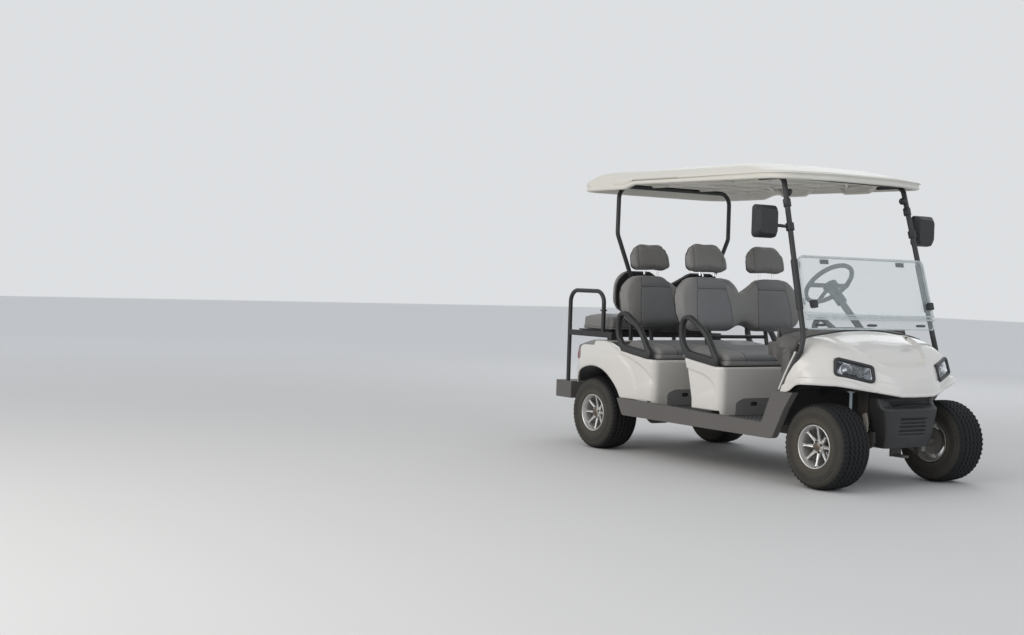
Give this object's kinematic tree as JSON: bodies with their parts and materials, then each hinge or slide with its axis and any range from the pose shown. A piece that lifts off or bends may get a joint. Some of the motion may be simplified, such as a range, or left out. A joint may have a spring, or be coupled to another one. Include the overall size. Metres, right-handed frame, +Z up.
{
  "type": "golf cart",
  "caption": "Electric golf cart with forward seat rows, a rear-facing flip bench, a roof on bent struts, a folding windscreen, mirrors and steered front wheels.",
  "frame": {"origin": "middle of the footprint on the ground, between the tyres' fronts and the footstep's rear", "axes": "+X towards the front of the cart, +Y to its left, +Z up"},
  "size_m": [2.7214, 1.42, 1.7719],
  "materials": {
    "body_paint": "gloss",
    "roof_plastic": "satin",
    "charcoal_plastic": "textured",
    "black_plastic": "textured",
    "grey_plastic": "satin",
    "floor_mat": "diamond relief",
    "seat_vinyl": "satin",
    "seat_shell": "satin",
    "chrome_post": "polished",
    "black_tube": "satin",
    "frame_steel": "satin",
    "cast_parts": "rough",
    "bright_steel": "brushed",
    "alloy": "satin",
    "tyre_rubber": "matte",
    "clear_pane": "clear",
    "lamp_lens": "clear",
    "tail_lens": "gloss",
    "mirror_glass": "mirror"
  },
  "bodies": {
    "chassis": {"ladder_frame": "frame_steel", "floor_deck": "floor_mat", "rocker_panels": "charcoal_plastic", "front_cowl": "body_paint", "headlamp_housings": "black_plastic", "headlamp_lenses": "lamp_lens", "dash_panel": "charcoal_plastic", "front_valance": "black_plastic", "tow_eye": "bright_steel", "rear_body": "body_paint", "front_seat_base": "body_paint", "battery_pack": "black_plastic", "seat_base_inserts": "grey_plastic", "tail_trims": "grey_plastic", "tail_lamps": "tail_lens", "cushion_front": "seat_vinyl", "cushion_second": "seat_vinyl", "backrest_front": "seat_vinyl", "backrest_second": "seat_vinyl", "backrest_rear": "seat_vinyl", "backrest_shells": "seat_shell", "seat_tubes": "black_tube", "headrests": "seat_vinyl", "headrest_posts": "chrome_post", "armrests": "black_plastic", "roof": "roof_plastic", "front_struts": "black_tube", "rear_hoop": "black_tube", "windscreen_fixed": "clear_pane", "windscreen_folded": "clear_pane", "windscreen_clips": "black_plastic", "mirror_housings": "black_plastic", "mirror_glasses": "mirror_glass", "rear_seat_frame": "black_tube", "grab_rails": "black_tube", "footstep": "black_plastic", "steering_column": "black_plastic", "pedals": "black_tube", "front_suspension": "frame_steel", "shocks": "black_tube", "steering_rack": "cast_parts", "rear_axle": "cast_parts", "rear_springs": "frame_steel", "wheel_liners": "black_plastic"},
    "steering_wheel": {"steering_wheel": "black_plastic"},
    "knuckle_left": {"knuckle_left": "cast_parts"},
    "knuckle_right": {"knuckle_right": "cast_parts"},
    "tie_rod": {"tie_rod": "bright_steel"},
    "rear_bench": {"rear_deck": "grey_plastic", "rear_cushion": "seat_vinyl"},
    "wheel_front_left": {"tyre_front_left": "tyre_rubber", "rim_front_left": "alloy"},
    "wheel_front_right": {"tyre_front_right": "tyre_rubber", "rim_front_right": "alloy"},
    "wheel_rear_left": {"tyre_rear_left": "tyre_rubber", "rim_rear_left": "alloy"},
    "wheel_rear_right": {"tyre_rear_right": "tyre_rubber", "rim_rear_right": "alloy"}
  },
  "joints": [
    {"name": "steering_wheel_turn", "type": "hinge", "parent": "chassis", "child": "steering_wheel", "pos_m": [0.38725, 0.28, 1.095], "axis": [-0.7175, 0, 0.6966], "range_deg": [-420, 420]},
    {"name": "steer_left", "type": "hinge", "parent": "chassis", "child": "knuckle_left", "pos_m": [1.13225, 0.295, 0.2285], "axis": [0, 0, 1], "range_deg": [-30, 30]},
    {"name": "steer_right", "type": "hinge", "parent": "chassis", "child": "knuckle_right", "pos_m": [1.13225, -0.295, 0.2285], "axis": [0, 0, 1], "range_deg": [-30, 30]},
    {"name": "tie_rod_slide", "type": "slide", "parent": "chassis", "child": "tie_rod", "axis": [0, 1, 0], "range_m": [-0.063, 0.063]},
    {"name": "spin_front_left", "type": "hinge", "parent": "knuckle_left", "child": "wheel_front_left", "pos_m": [1.13225, 0.449, 0.2285], "axis": [0, 1, 0], "continuous": true},
    {"name": "spin_front_right", "type": "hinge", "parent": "knuckle_right", "child": "wheel_front_right", "pos_m": [1.13225, -0.449, 0.2285], "axis": [0, 1, 0], "continuous": true},
    {"name": "spin_rear_left", "type": "hinge", "parent": "chassis", "child": "wheel_rear_left", "pos_m": [-0.78775, 0.485, 0.2285], "axis": [0, 1, 0], "continuous": true},
    {"name": "spin_rear_right", "type": "hinge", "parent": "chassis", "child": "wheel_rear_right", "pos_m": [-0.78775, -0.485, 0.2285], "axis": [0, 1, 0], "continuous": true},
    {"name": "rear_bench_flip", "type": "hinge", "parent": "chassis", "child": "rear_bench", "pos_m": [-1.17975, 0, 0.748], "axis": [0, -1, 0], "range_deg": [0, 180]}
  ],
  "couplings": [
    {"joint": "steer_left", "follows": "steering_wheel_turn", "ratio": 0.0714},
    {"joint": "steer_right", "follows": "steering_wheel_turn", "ratio": 0.0714},
    {"joint": "tie_rod_slide", "follows": "steering_wheel_turn", "m_per_rad": -0.008568}
  ]
}
